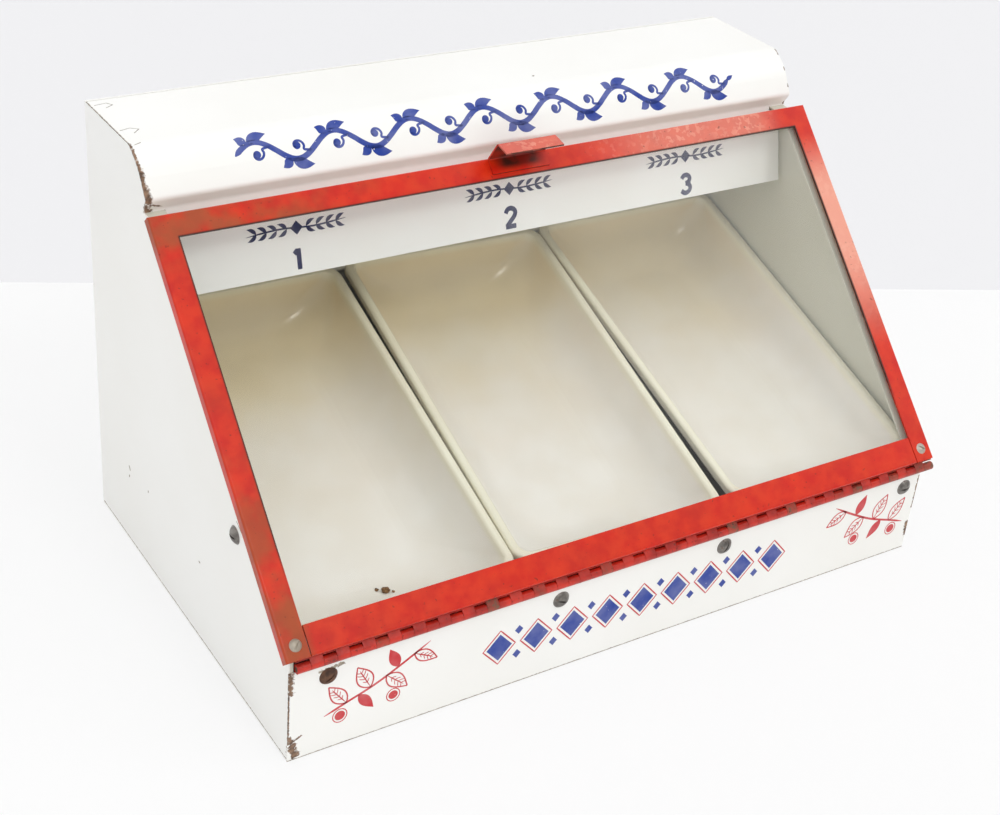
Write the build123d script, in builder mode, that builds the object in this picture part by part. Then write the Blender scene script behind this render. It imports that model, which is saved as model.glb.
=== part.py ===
from build123d import *
from math import asin, cos, degrees, radians, sin, tan
import os

# Countertop nut warmer cabinet, in mm. X runs right along the front, Y runs back, Z up.
# The origin is on the counter, under the middle of the cabinet.

# Cabinet
width = 372.0  # over the side panels
depth = 223.0  # front panel's face to the back panel's outer face
height = 227.0
sheet = 0.9  # enamelled sheet steel
lip = 9.0  # turned-in edges of the side panels
front_height = 50.0  # front panel, up to the hinge barrel
base_flange = 9.0  # front panel's lower edge, turned in over the base
back_flange = 14.0  # turned edges that the back panel lies against
flange_end_gap = 0.5
bend_radius = 1.5
edge_round = 0.35

# Door, measured along its own slope
door_angle = 45.0
door_overhang = 3.0  # past each side panel
door_depth = 5.2
rail_width = 11.5
bottom_rail_height = 13.9
rail_return = 9.0  # folded lip behind the glass
fold_radius = 1.1
rail_gap = 0.5  # open joint between bottom rail and side rails
foot_gap = 3.1  # hinge axis to the door's lower edge
seat_gap = 0.3  # closed door to the cabinet's sloping edges
glass = 3.0
glass_play = 0.3
glass_seat = 10.0  # bottom edge of the pane above the door's lower edge
key_length = 20.0  # corner keys inside the bottom rail
key_play = 0.15

# Fascia over the door, as steps from the groove outwards and up
fascia_height = 26.1  # top of the cabinet down to the groove
door_rise = 3.3  # door's top edge above the groove
groove_setback = 12.5  # groove behind the door's top edge
nose_run = 3.8
nose_rise = 6.3
brow_run = 7.6
brow_rise = 12.4
shoulder_run = 9.7
shoulder_radius = 7.0
brow_radius = 24.0
nose_radius = 2.6
groove_radius = 2.4
flange_length = 12.0
flange_tilt = 14.5
slope_setback = 1.0  # side panels stop short of the door's top edge

# Piano hinge
hinge_height = 52.5  # axis above the counter
hinge_shift = 4.3  # the hinge sits to the right of centre
knuckle_pitch = 6.35
knuckle_gap = 0.16
barrel_radius = 2.25
pin_radius = 1.2
pin_play = 0.05
leaf = 0.8
lower_leaf_height = 16.0
upper_leaf_height = 12.0
notch_gap = 0.35  # barrel of one leaf to the edge of the other
relief = 0.6  # hinge to the notches in the side panels

# Screws and nuts
screw_radius = 2.0
screw_head_radius = 4.5
screw_head_height = 2.3
screw_length = 8.0
screw_level = 42.5
screw_inset = 14.8  # outer screws to the cabinet's sides, before the hinge's shift
screw_spread = 98.0  # between the middle two
screw_turns = (35.0, -20.0, 60.0, 5.0)
small_radius = 1.45
small_head_radius = 2.9
small_head_height = 1.5
small_length = 4.0
screw_play = 0.1
slot_width = 0.9
slot_depth = 0.8
nut_width = 7.9
nut_height = 3.0
door_screw_inset = 6.2
door_screw_rise = 6.5
door_screw_turns = (50.0, -40.0)
side_screw_back = 55.0
side_screw_level = 88.0

# Handle tab
handle_width = 33.0
handle_shift = 2.5
handle_foot = 8.7
handle_setback = 0.2
handle_reach = 13.5
handle_lean = 2.3
handle_lip_run = 7.5
handle_lip_rise = 5.0
handle_radius = 1.6

# Sign strip behind the glass
sign_end_gap = 3.1
sign_height = 40.0
sign_top_gap = 3.0

# Bins
bin_slack = 9.0  # room left across the three bins
bin_depth = 28.0
bin_slope = 17.8
bin_setback = 8.8  # front panel's face to the bins' front rims
bin_back_room = 16.6  # bins' back rims to the back panel's face
bin_height = 62.3  # front rims above the counter
bin_wall = 1.2
bin_rim = 4.6
bin_rim_drop = 4.5
bin_rim_round = 1.8
bin_corner = 9.0
bin_belly_drop = 14.0  # depth at which the walls begin to curve into the floor
bin_belly_inset = 4.0
bin_belly_corner = 16.0
bin_floor_inset = 26.0
bin_floor_corner = 20.0
bin_cove = 24.0
bin_gap = 0.4  # least room between bins, and to the side panels
bin_slides = (3.3, 7.2, 0.9)  # how far each bin's back end has slid to the right
ledge_width = 7.5
ledge_overlap = 1.7  # ledge under the rim
ledge_drop = 10.0

# Lamps behind the sign strip
lamp_drop = 34.0  # below the cabinet's top
lamp_radius = 14.0
lamp_length = 112.0
neck_radius = 11.5
neck_length = 12.0
neck_taper = 7.0
cap_radius = 13.0
cap_length = 20.0
cap_tip_radius = 4.8
cap_tip_length = 1.6
cap_taper = 3.5
cap_gap = 4.0  # lamp cap to the floor of its holder
holder_wall = 3.5
holder_floor = 5.0
holder_length = 33.0
holder_play = 0.2
holder_round = 2.0
boss_radius = 5.0
boss_length = 4.0
bracket = 1.5
bracket_bend = 2.5
bracket_width = 34.0
bracket_foot = 20.0
bracket_inset = 14.0  # bracket's ear to the side panel
bracket_screw_spread = 20.0

# Back panel
back_screw_drop = 27.0  # from the top, and about as far above the counter
back_screw_rise = 30.0
vent_count = 6
vent_pitch = 12.0
vent_width = 4.0
vent_length = 24.0
vent_inset = 101.0  # middle of each row of vents to the cabinet's side
grommet_bore = 3.6
grommet_neck = 6.0
grommet_rim = 8.5
grommet_rim_depth = 2.2
grommet_round = 0.8
grommet_play = 0.1
grommet_level = 28.0
grommet_inset = 56.0  # from the cabinet's right side

os.makedirs("parts", exist_ok=True)

# Places that several pieces share
sides = {"left": -1, "right": 1}
y_front = -depth / 2
y_back = depth / 2
y_back_in = y_back - sheet
wall_in = width / 2 - sheet
flange_half = wall_in - lip - flange_end_gap
slope_y = cos(radians(door_angle))
slope_z = sin(radians(door_angle))
hinge_y = y_front + sheet + leaf - barrel_radius
knuckles = 2 * int((width / 2 + door_overhang) / knuckle_pitch - 0.5) + 1
hinge_length = knuckles * knuckle_pitch
hinge_start = hinge_shift - hinge_length / 2
leaf_end = upper_leaf_height - foot_gap
face_lift = door_depth + barrel_radius
foot_y = hinge_y + foot_gap * slope_y - face_lift * slope_z
foot_z = hinge_height + foot_gap * slope_z + face_lift * slope_y
groove_z = height - fascia_height
door_half = width / 2 + door_overhang
door_length = (groove_z + door_rise - foot_z) / slope_z
channel = door_depth - 2 * sheet
door_face = Plane(origin=(0, foot_y, foot_z), x_dir=(1, 0, 0), z_dir=(0, -slope_z, slope_y))


def on_door(along, out):
    """Y and Z of a point given up the door's slope and out from its face."""
    return (
        foot_y + along * slope_y - out * slope_z,
        foot_z + along * slope_z + out * slope_y,
    )


def door_section(x):
    """Plane across the door: its own x runs up the slope, and its y out of the face."""
    return Plane(origin=(x, foot_y, foot_z), x_dir=(0, slope_y, slope_z), z_dir=(1, 0, 0))


groove = (foot_y + door_length * slope_y + groove_setback, groove_z)
nose = (groove[0] - nose_run, groove[1] + nose_rise)
brow = (nose[0] + brow_run, nose[1] + brow_rise)
shoulder = (brow[0] + shoulder_run, height)
tilt_y = sin(radians(flange_tilt))
tilt_z = cos(radians(flange_tilt))
flange_foot = (groove[0] - flange_length * tilt_y, groove[1] - flange_length * tilt_z)
fascia_radii = [shoulder_radius, brow_radius, nose_radius]
edge_out = sheet - door_depth - seat_gap
edge_top = on_door(door_length - slope_setback, edge_out)
edge_foot = on_door((y_front - foot_y + edge_out * slope_z) / slope_y, edge_out)


# The cabinet's outline from the side, one sheet thickness in
with BuildSketch() as side_outline:
    with BuildLine():
        FilletPolyline(
            (y_back, height), shoulder, brow, nose, groove, edge_top, radius=[*fascia_radii, edge_round]
        )
        Polyline(edge_top, edge_foot, (y_front, 0), (y_back, 0), (y_back, height))
    make_face()
    offset(amount=-sheet)


def facing_front(x, z, turn=0.0, y=y_front):
    """Plane on the front panel, its z axis pointing at the user."""
    across = (cos(radians(turn)), 0, sin(radians(turn)))
    return Plane(origin=(x, y, z), x_dir=across, z_dir=(0, -1, 0))


def facing_back(x, z, y=y_back):
    """Plane on the back panel, its z axis pointing away from the cabinet."""
    return Plane(origin=(x, y, z), x_dir=(-1, 0, 0), z_dir=(0, 1, 0))


def on_side(side, x, y, z):
    """Plane on a side panel, its z axis pointing away from the cabinet's middle."""
    return Plane(origin=(side * x, y, z), x_dir=(0, 1, 0), z_dir=(side, 0, 0))


def save(piece, name):
    piece.part.label = name
    export_step(piece.part, f"parts/{name}.step")


def make_screw(radius, head_radius, head_height, length):
    """Slotted screw with a low domed head, seated on z = 0."""
    with BuildPart() as screw:
        with BuildSketch(Plane.XZ):
            with BuildLine():
                TangentArc((0, head_height), (head_radius, 0), tangent=(1, 0))
                Polyline((head_radius, 0), (radius, 0), (radius, -length), (0, -length), (0, head_height))
            make_face()
        revolve(axis=Axis.Z)
        with BuildSketch(Plane.XY.offset(head_height)):
            Rectangle(2 * head_radius, slot_width)
        extrude(amount=-slot_depth, mode=Mode.SUBTRACT)
    return screw.part


truss_screw = make_screw(screw_radius, screw_head_radius, screw_head_height, screw_length)
small_screw = make_screw(small_radius, small_head_radius, small_head_height, small_length)

with BuildPart() as nut:
    with BuildSketch():
        RegularPolygon(nut_width / 2, 6, major_radius=False)
        Circle(screw_radius + screw_play / 2, mode=Mode.SUBTRACT)
    extrude(amount=nut_height)

screw_reaches = (width / 2 - screw_inset, screw_spread / 2)
hinge_screw_xs = sorted(hinge_shift + side * reach for side in sides.values() for reach in screw_reaches)
back_screw_x = wall_in - lip / 2
back_screw_top = height - back_screw_drop
back_screw_levels = (back_screw_rise, (back_screw_rise + back_screw_top) / 2, back_screw_top)
lamp_level = height - lamp_drop
lamp_y = (groove[0] + y_back_in) / 2
grommet_x = width / 2 - grommet_inset
bracket_x = wall_in - bracket_inset
bracket_screw_x = bracket_x - bracket_foot / 2
back_screw_spots = [(side * back_screw_x, z) for side in sides.values() for z in back_screw_levels]
bracket_screw_spots = [
    (side * bracket_screw_x, lamp_level + step * bracket_screw_spread / 2)
    for side in sides.values()
    for step in (-1, 1)
]

# Room that the hinge takes out of the side panels' front edges
with BuildPart() as hinge_room:
    with BuildSketch(door_section(hinge_start - relief)):
        with Locations((leaf_end + relief, 0)):
            Rectangle(
                upper_leaf_height + face_lift,
                2 * (door_depth + leaf + relief),
                align=(Align.MAX, Align.CENTER),
            )
    extrude(amount=hinge_length + 2 * relief)
    with BuildSketch(Plane.YZ.offset(hinge_start - relief)):
        with Locations((y_front, hinge_height - lower_leaf_height - relief)):
            Rectangle(sheet + leaf + relief, lower_leaf_height + face_lift, align=(Align.MIN, Align.MIN))
    extrude(amount=hinge_length + 2 * relief)

# Side panels
for name, side in sides.items():
    with BuildPart() as side_panel:
        with BuildSketch(Plane.YZ.offset(side * width / 2)):
            add(side_outline.sketch)
        extrude(amount=-side * sheet)
        with BuildSketch(Plane.YZ.offset(side * wall_in)):
            add(side_outline.sketch)
            offset(amount=-sheet, mode=Mode.SUBTRACT)
        extrude(amount=-side * lip)
        add(hinge_room.part, mode=Mode.SUBTRACT)
        with Locations(*[facing_back(side * back_screw_x, z, y_back_in) for z in back_screw_levels]):
            Hole(small_radius + screw_play, depth=sheet)
        if side < 0:
            with Locations(on_side(side, width / 2, y_front + side_screw_back, side_screw_level)):
                Hole(screw_radius + screw_play, depth=sheet)
    save(side_panel, "side_panel_" + name)

# Top, fascia and rolled nose in one sheet
with BuildPart() as top_cover:
    with BuildSketch(Plane.YZ.offset(-width / 2)):
        with BuildLine():
            FilletPolyline(
                (y_back_in, height - back_flange),
                (y_back_in, height),
                shoulder,
                brow,
                nose,
                groove,
                flange_foot,
                radius=[bend_radius, *fascia_radii, groove_radius],
            )
            offset(amount=sheet, side=Side.LEFT)
        make_face()
    extrude(amount=width)
    for side in sides.values():
        with BuildSketch(Plane.YZ.offset(side * flange_half)):
            add(side_outline.sketch)
        extrude(amount=side * (width / 2 - flange_half), mode=Mode.SUBTRACT)
save(top_cover, "top_cover")

# Front panel, with its lower edge turned in over the base
with BuildPart() as front_panel:
    with BuildSketch(facing_front(0, 0)):
        Rectangle(width, front_height, align=(Align.CENTER, Align.MIN))
    extrude(amount=-sheet)
    fillet(front_panel.faces().sort_by(Axis.Y)[0].edges(), edge_round)
    with BuildSketch(Plane.XY.offset(sheet)):
        with Locations((0, y_front + sheet)):
            Rectangle(2 * flange_half, base_flange, align=(Align.CENTER, Align.MIN))
    extrude(amount=sheet)
    with Locations(*[facing_front(x, screw_level) for x in hinge_screw_xs]):
        Hole(screw_radius + screw_play, depth=sheet)
save(front_panel, "front_panel")

# Base sheet, turned up at the back
with BuildPart() as base_pan:
    with BuildSketch():
        with Locations((0, y_front + sheet)):
            Rectangle(width, depth - 2 * sheet, align=(Align.CENTER, Align.MIN))
    extrude(amount=sheet)
    with BuildSketch():
        with Locations((0, y_back_in)):
            Rectangle(2 * flange_half, sheet, align=(Align.CENTER, Align.MAX))
    extrude(amount=back_flange)
save(base_pan, "base_pan")

# Back panel with its vents and cord hole
with BuildPart() as back_panel:
    with BuildSketch(facing_back(0, 0)):
        with Locations((0, height / 2)):
            Rectangle(width, height)
        with Locations(*[(-x, z) for x, z in back_screw_spots + bracket_screw_spots]):
            Circle(small_radius + screw_play, mode=Mode.SUBTRACT)
        for side in sides.values():
            with Locations((side * (width / 2 - vent_inset), lamp_level)):
                with GridLocations(vent_pitch, 0, vent_count, 1):
                    SlotOverall(vent_length, vent_width, rotation=90, mode=Mode.SUBTRACT)
        with Locations((-grommet_x, grommet_level)):
            Circle(grommet_neck + grommet_play, mode=Mode.SUBTRACT)
    extrude(amount=-sheet)
save(back_panel, "back_panel")

with BuildPart() as cord_grommet:
    with BuildSketch(Plane.XY.offset(grommet_level)):
        with Locations((grommet_x, y_back - sheet / 2)):
            Rectangle(grommet_rim, sheet + 2 * grommet_rim_depth, align=(Align.MIN, Align.CENTER))
            fillet(vertices().group_by(Axis.X)[-1], grommet_round)
            with Locations((grommet_neck, 0)):
                Rectangle(grommet_rim, sheet, align=(Align.MIN, Align.CENTER), mode=Mode.SUBTRACT)
            Rectangle(grommet_bore, depth, align=(Align.MIN, Align.CENTER), mode=Mode.SUBTRACT)
    revolve(axis=Axis((grommet_x, y_back, grommet_level), (0, 1, 0)))
save(cord_grommet, "cord_grommet")


# Piano hinge
hinge_axis = (hinge_start, hinge_y, hinge_height)
lower_section = Plane(origin=hinge_axis, x_dir=(0, 0, -1), z_dir=(1, 0, 0))
upper_section = Plane(origin=hinge_axis, x_dir=(0, slope_y, slope_z), z_dir=(1, 0, 0))

# Room in one leaf for a knuckle of the other
with BuildPart() as notch:
    with BuildSketch():
        with Locations((barrel_radius + notch_gap, 0)):
            Rectangle(2 * (barrel_radius + notch_gap), 3 * barrel_radius, align=(Align.MAX, Align.CENTER))
    extrude(amount=knuckle_pitch + knuckle_gap)


def make_leaf(section, leaf_height, first_notch):
    """Flat leaf rolled into knuckles, with a notch at every second place along the pin."""
    with BuildPart() as rolled:
        with BuildSketch(section):
            Circle(barrel_radius)
            with Locations((0, barrel_radius)):
                Rectangle(leaf_height, leaf, align=(Align.MIN, Align.MAX))
            Circle(pin_radius + pin_play, mode=Mode.SUBTRACT)
        extrude(amount=hinge_length)
        starts = [place * knuckle_pitch - knuckle_gap / 2 for place in range(first_notch, knuckles, 2)]
        with Locations(*[section.offset(start) for start in starts]):
            add(notch.part, mode=Mode.SUBTRACT)
    return rolled


hinge_lower_leaf = make_leaf(lower_section, lower_leaf_height, 1)
with hinge_lower_leaf:
    with Locations(*[facing_front(x, screw_level, y=y_front + sheet) for x in hinge_screw_xs]):
        Hole(screw_radius + screw_play, depth=leaf)
save(hinge_lower_leaf, "hinge_lower_leaf")

save(make_leaf(upper_section, upper_leaf_height, 0), "hinge_upper_leaf")

with BuildPart() as hinge_pin:
    with BuildSketch(lower_section):
        Circle(pin_radius)
    extrude(amount=hinge_length)
save(hinge_pin, "hinge_pin")

with BuildPart() as hinge_screws:
    with Locations(*[facing_front(x, screw_level, turn) for x, turn in zip(hinge_screw_xs, screw_turns)]):
        add(truss_screw)
save(hinge_screws, "hinge_screws")

with BuildPart() as hinge_nuts:
    with Locations(*[facing_back(x, screw_level, y_front + sheet + leaf) for x in hinge_screw_xs]):
        add(nut.part)
save(hinge_nuts, "hinge_nuts")

with BuildPart() as side_screw:
    with Locations(on_side(-1, width / 2, y_front + side_screw_back, side_screw_level)):
        add(truss_screw)
save(side_screw, "side_screw")

with BuildPart() as side_nut:
    with Locations(on_side(-1, wall_in - nut_height, y_front + side_screw_back, side_screw_level)):
        add(nut.part)
save(side_nut, "side_nut")


# Door
def on_face(side, turn=0.0):
    """Plane on the door's face at a corner screw, its z axis pointing out."""
    spot = door_face.from_local_coords((side * (door_half - door_screw_inset), door_screw_rise, 0))
    across = (cos(radians(turn)), sin(radians(turn)) * slope_y, sin(radians(turn)) * slope_z)
    return Plane(origin=spot, x_dir=across, z_dir=door_face.z_dir)


# Folded frame that the mitres part into three rails
with BuildPart() as door_frame:
    with BuildSketch(door_face):
        Rectangle(2 * door_half, door_length, align=(Align.CENTER, Align.MIN))
    extrude(amount=-door_depth)
    skin = door_frame.faces().sort_by(Axis(door_face.origin, door_face.z_dir))[-1]
    fillet(skin.edges().sort_by(Axis.Z)[1:], fold_radius)
    with BuildSketch(door_face.offset(-sheet)):
        with Locations((0, door_length - sheet)):
            Rectangle(2 * (door_half - sheet), door_length, align=(Align.CENTER, Align.MAX))
    extrude(amount=-channel, mode=Mode.SUBTRACT)
    with BuildSketch(door_face.offset(-door_depth)):
        with Locations((0, door_length - rail_return)):
            Rectangle(2 * (door_half - rail_return), door_length, align=(Align.CENTER, Align.MAX))
    extrude(amount=sheet, mode=Mode.SUBTRACT)
    with Locations(*[on_face(side) for side in sides.values()]):
        Hole(small_radius + screw_play, depth=sheet)

rail_in = door_half - rail_width
top_rail_in = door_length - rail_width
rail_outlines = {
    f"door_side_rail_{name}": [
        (side * door_half, 0),
        (side * door_half, door_length),
        (side * rail_in, top_rail_in),
        (side * rail_in, 0),
    ]
    for name, side in sides.items()
}
rail_outlines["door_top_rail"] = [
    (-door_half, door_length),
    (door_half, door_length),
    (rail_in, top_rail_in),
    (-rail_in, top_rail_in),
]
for name, outline in rail_outlines.items():
    with BuildPart() as rail:
        add(door_frame.part)
        with BuildSketch(door_face):
            with BuildLine():
                Polyline(*outline, close=True)
            make_face()
        extrude(amount=-door_depth, mode=Mode.INTERSECT)
    save(rail, name)

bottom_rail_half = rail_in - rail_gap
with BuildPart() as door_bottom_rail:
    with BuildSketch(door_section(-bottom_rail_half)):
        Rectangle(bottom_rail_height, door_depth, align=(Align.MIN, Align.MAX))
        fillet(vertices().group_by(Axis.X)[0], fold_radius)
        with Locations((sheet, -sheet)):
            Rectangle(glass_seat - 2 * sheet, channel, align=(Align.MIN, Align.MAX), mode=Mode.SUBTRACT)
        with Locations((glass_seat, -sheet)):
            Rectangle(bottom_rail_height, channel, align=(Align.MIN, Align.MAX), mode=Mode.SUBTRACT)
    extrude(amount=2 * bottom_rail_half)
save(door_bottom_rail, "door_bottom_rail")

with BuildPart() as door_corner_keys:
    with BuildSketch(door_face.offset(-sheet - key_play)):
        for side in sides.values():
            with Locations((side * (door_half - sheet - key_play - key_length / 2), sheet + key_play)):
                Rectangle(key_length, glass_seat - 2 * (sheet + key_play), align=(Align.CENTER, Align.MIN))
            with Locations((side * (door_half - door_screw_inset), door_screw_rise)):
                Circle(small_radius + screw_play / 2, mode=Mode.SUBTRACT)
    extrude(amount=2 * key_play - channel)
save(door_corner_keys, "door_corner_keys")

with BuildPart() as door_screws:
    with Locations(*[on_face(side, turn) for side, turn in zip(sides.values(), door_screw_turns)]):
        add(small_screw)
save(door_screws, "door_screws")

with BuildPart() as door_glass:
    with BuildSketch(door_face.offset((glass - door_depth) / 2)):
        with Locations((0, glass_seat)):
            Rectangle(
                2 * (door_half - sheet - glass_play),
                door_length - glass_seat - sheet - glass_play,
                align=(Align.CENTER, Align.MIN),
            )
    extrude(amount=-glass)
save(door_glass, "door_glass")

handle_heel = door_length - handle_setback
with BuildPart() as door_handle:
    with BuildSketch(door_section(handle_shift - handle_width / 2)):
        with BuildLine():
            FilletPolyline(
                (door_length - handle_foot, 0),
                (handle_heel, 0),
                (handle_heel + handle_lean, handle_reach),
                (handle_heel + handle_lean - handle_lip_run, handle_reach + handle_lip_rise),
                radius=handle_radius,
            )
            offset(amount=sheet, side=Side.LEFT)
        make_face()
    extrude(amount=handle_width)
save(door_handle, "door_handle")

# Sign strip, hung from the cover's turned-down flange
sign_origin = (0, groove[0] + sheet * tilt_z, groove[1] - sheet * tilt_y)
sign_face = Plane(origin=sign_origin, x_dir=(1, 0, 0), z_dir=(0, -tilt_z, tilt_y))
with BuildPart() as sign_strip:
    with BuildSketch(sign_face):
        with Locations((0, -sign_top_gap)):
            Rectangle(2 * (wall_in - sign_end_gap), sign_height, align=(Align.CENTER, Align.MAX))
    extrude(amount=-sheet)
save(sign_strip, "sign_strip")

# Sloping rack of three bins on two ledges
rack_y = cos(radians(bin_slope))
rack_z = sin(radians(bin_slope))
rack_origin = (0, y_front + bin_setback, bin_height)
rack = Plane(origin=rack_origin, x_dir=(1, 0, 0), z_dir=(0, -rack_z, rack_y))
bin_width = (2 * wall_in - bin_slack) / 3
bin_length = (depth - bin_setback - bin_back_room) / rack_y
left_bin_x = bin_gap + bin_width / 2 - wall_in
bin_xs = (
    left_bin_x,
    left_bin_x + bin_width + bin_gap,
    wall_in - bin_gap - bin_width / 2 - bin_slides[2],
)
trough_inset = bin_rim - bin_wall
trough_width = bin_width - 2 * trough_inset
trough_length = bin_length - 2 * trough_inset
trough_sections = (
    (0, trough_inset, bin_corner - trough_inset),
    (bin_belly_drop, trough_inset + bin_belly_inset, bin_belly_corner),
    (bin_depth, trough_inset + bin_floor_inset, bin_floor_corner),
)


def make_trough(mouth, wall):
    """Rounded solid below the plane of the rim, smaller than the bin's outside by a wall."""
    with BuildPart() as trough:
        for drop, inset, corner in trough_sections:
            room = 2 * (inset + wall)
            with BuildSketch(mouth.offset(-drop if drop < bin_depth else wall - drop)):
                RectangleRounded(bin_width - room, bin_length - room, corner - wall)
        loft()
        floor = trough.faces().sort_by(Axis(mouth.origin, mouth.z_dir))[0]
        fillet(floor.edges(), bin_cove + bin_wall - wall)
    return trough.part


def draw_rim(inset, corner):
    """Flat ring from the bin's outer edge inwards."""
    RectangleRounded(bin_width, bin_length, bin_corner)
    RectangleRounded(bin_width - 2 * inset, bin_length - 2 * inset, corner, mode=Mode.SUBTRACT)


def make_bin(mouth):
    """Pressed bin with a turned-down rim; mouth is the plane of its rim."""
    with BuildPart() as pressed:
        add(make_trough(mouth, 0))
        add(make_trough(mouth, bin_wall), mode=Mode.SUBTRACT)
        with BuildSketch(mouth):
            draw_rim(trough_inset + bin_wall / 2, bin_corner - trough_inset - bin_wall / 2)
        extrude(amount=-bin_wall)
        with BuildSketch(mouth):
            draw_rim(bin_wall, bin_corner - bin_wall)
        extrude(amount=-bin_rim_drop)
        top = pressed.faces().sort_by(Axis(mouth.origin, mouth.z_dir))[-1]
        fillet(top.edges(), bin_rim_round)
    return pressed


for name, x, slide in zip(("left", "centre", "right"), bin_xs, bin_slides):
    turn = -degrees(asin(slide / bin_length))
    front_edge = rack * Location((x, 0, 0), (0, 0, turn))
    save(make_bin(Plane(front_edge * Location((0, bin_length / 2, 0)))), "bin_" + name)

rack_section = Plane(origin=(-wall_in, *rack_origin[1:]), x_dir=(0, rack_y, rack_z), z_dir=(1, 0, 0))
for name, edge, inward in (("front", 0, 1), ("rear", bin_length, -1)):
    lip_y = edge + inward * ledge_overlap
    bend_y = lip_y - inward * ledge_width
    with BuildPart() as ledge:
        with BuildSketch(rack_section):
            with BuildLine():
                FilletPolyline(
                    (lip_y, -bin_rim_drop),
                    (bend_y, -bin_rim_drop),
                    (bend_y, -bin_rim_drop - ledge_drop),
                    radius=bend_radius,
                )
                offset(amount=sheet, side=Side.LEFT if inward > 0 else Side.RIGHT)
            make_face()
        extrude(amount=2 * wall_in)
    save(ledge, name + "_ledge")

# Lamps, their holders and brackets
holder_bore = cap_radius + holder_play
cap_start = holder_floor + cap_gap
glass_start = cap_start + cap_length


def make_lamp_parts(name, side):
    """Bracket, holder, cap and glass at one side; along a lamp, x runs from its ear to the middle."""
    axial = Plane(
        origin=(side * (bracket_x - bracket), lamp_y, lamp_level), x_dir=(-side, 0, 0), z_dir=(0, side, 0)
    )
    axis = Axis(axial.origin, axial.x_dir)

    with BuildPart() as lamp_bracket:
        with BuildSketch(Plane.XY.offset(lamp_level - bracket_width / 2)):
            with BuildLine():
                FilletPolyline(
                    (side * bracket_x, lamp_y - bracket_width / 2),
                    (side * bracket_x, y_back_in),
                    (side * (bracket_x - bracket_foot), y_back_in),
                    radius=bracket_bend,
                )
                offset(amount=bracket, side=Side.LEFT if side > 0 else Side.RIGHT)
            make_face()
        extrude(amount=bracket_width)
        with Locations(on_side(side, bracket_x, lamp_y, lamp_level)):
            Hole(boss_radius + holder_play, depth=bracket)
        with Locations(*[facing_back(x, z, y_back_in) for x, z in bracket_screw_spots]):
            Hole(small_radius + screw_play, depth=bracket)
    save(lamp_bracket, "lamp_bracket_" + name)

    with BuildPart() as lampholder:
        with BuildSketch(axial):
            Rectangle(holder_length, holder_bore + holder_wall, align=Align.MIN)
            fillet(vertices().group_by(Axis.Y)[-1], holder_round)
            with Locations((-boss_length, 0)):
                Rectangle(boss_length, boss_radius, align=Align.MIN)
            with Locations((holder_floor, 0)):
                Rectangle(holder_length, holder_bore, align=Align.MIN, mode=Mode.SUBTRACT)
        revolve(axis=axis)
    save(lampholder, "lampholder_" + name)

    with BuildPart() as lamp_cap:
        with BuildSketch(axial):
            with BuildLine():
                Polyline(
                    (cap_start, 0),
                    (cap_start, cap_tip_radius),
                    (cap_start + cap_tip_length, cap_tip_radius),
                    (cap_start + cap_tip_length + cap_taper, cap_radius),
                    (glass_start, cap_radius),
                    (glass_start, 0),
                    close=True,
                )
            make_face()
        revolve(axis=axis)
    save(lamp_cap, "lamp_cap_" + name)

    with BuildPart() as lamp_glass:
        with BuildSketch(axial):
            with BuildLine():
                Polyline(
                    (glass_start, 0),
                    (glass_start, neck_radius),
                    (glass_start + neck_length, neck_radius),
                    (glass_start + neck_length + neck_taper, lamp_radius),
                    (glass_start + lamp_length - lamp_radius, lamp_radius),
                )
                TangentArc(
                    (glass_start + lamp_length - lamp_radius, lamp_radius),
                    (glass_start + lamp_length, 0),
                    tangent=(1, 0),
                )
                Line((glass_start + lamp_length, 0), (glass_start, 0))
            make_face()
        revolve(axis=axis)
    save(lamp_glass, "lamp_glass_" + name)


for name, side in sides.items():
    make_lamp_parts(name, side)

for name, spots in (("back_screws", back_screw_spots), ("bracket_screws", bracket_screw_spots)):
    with BuildPart() as screws:
        with Locations(*[facing_back(x, z) for x, z in spots]):
            add(small_screw)
    save(screws, name)
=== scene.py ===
import math

import bmesh
import bpy
from mathutils import Matrix, Vector
from mathutils.bvhtree import BVHTree
from mathutils.noise import noise as lumpiness


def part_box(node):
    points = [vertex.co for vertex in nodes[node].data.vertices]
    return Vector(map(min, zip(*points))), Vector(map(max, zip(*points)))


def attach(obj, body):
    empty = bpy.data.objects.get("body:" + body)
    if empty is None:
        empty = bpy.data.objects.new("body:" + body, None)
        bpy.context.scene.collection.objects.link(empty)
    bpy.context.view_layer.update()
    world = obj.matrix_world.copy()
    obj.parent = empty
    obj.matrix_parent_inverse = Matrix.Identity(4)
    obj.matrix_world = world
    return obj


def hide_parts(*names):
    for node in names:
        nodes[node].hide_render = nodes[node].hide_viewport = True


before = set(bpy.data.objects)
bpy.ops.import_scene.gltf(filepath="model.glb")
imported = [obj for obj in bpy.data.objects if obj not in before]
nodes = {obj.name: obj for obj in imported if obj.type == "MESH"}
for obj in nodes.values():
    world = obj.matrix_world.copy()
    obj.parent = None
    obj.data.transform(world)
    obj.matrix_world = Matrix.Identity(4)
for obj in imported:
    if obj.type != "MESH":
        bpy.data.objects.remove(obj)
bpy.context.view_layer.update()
scene = bpy.context.scene
print("frame loaded,", len(nodes), "nodes")


# Colour and node helpers
def srgb(red, green, blue):
    # screen colour, 0 to 255, as the linear one that shaders take
    def lift(value):
        value /= 255
        return value / 12.92 if value <= 0.04045 else ((value + 0.055) / 1.055) ** 2.4

    return (lift(red), lift(green), lift(blue), 1.0)


def plug(tree, socket, value):
    if isinstance(value, bpy.types.NodeSocket):
        tree.links.new(value, socket)
    else:
        socket.default_value = value


def addNode(tree, kind, inputs=None, **settings):
    made = tree.nodes.new("ShaderNode" + kind)
    for name, value in settings.items():
        setattr(made, name, value)
    for name, value in (inputs or {}).items():
        plug(tree, made.inputs[name], value)
    return made


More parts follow.
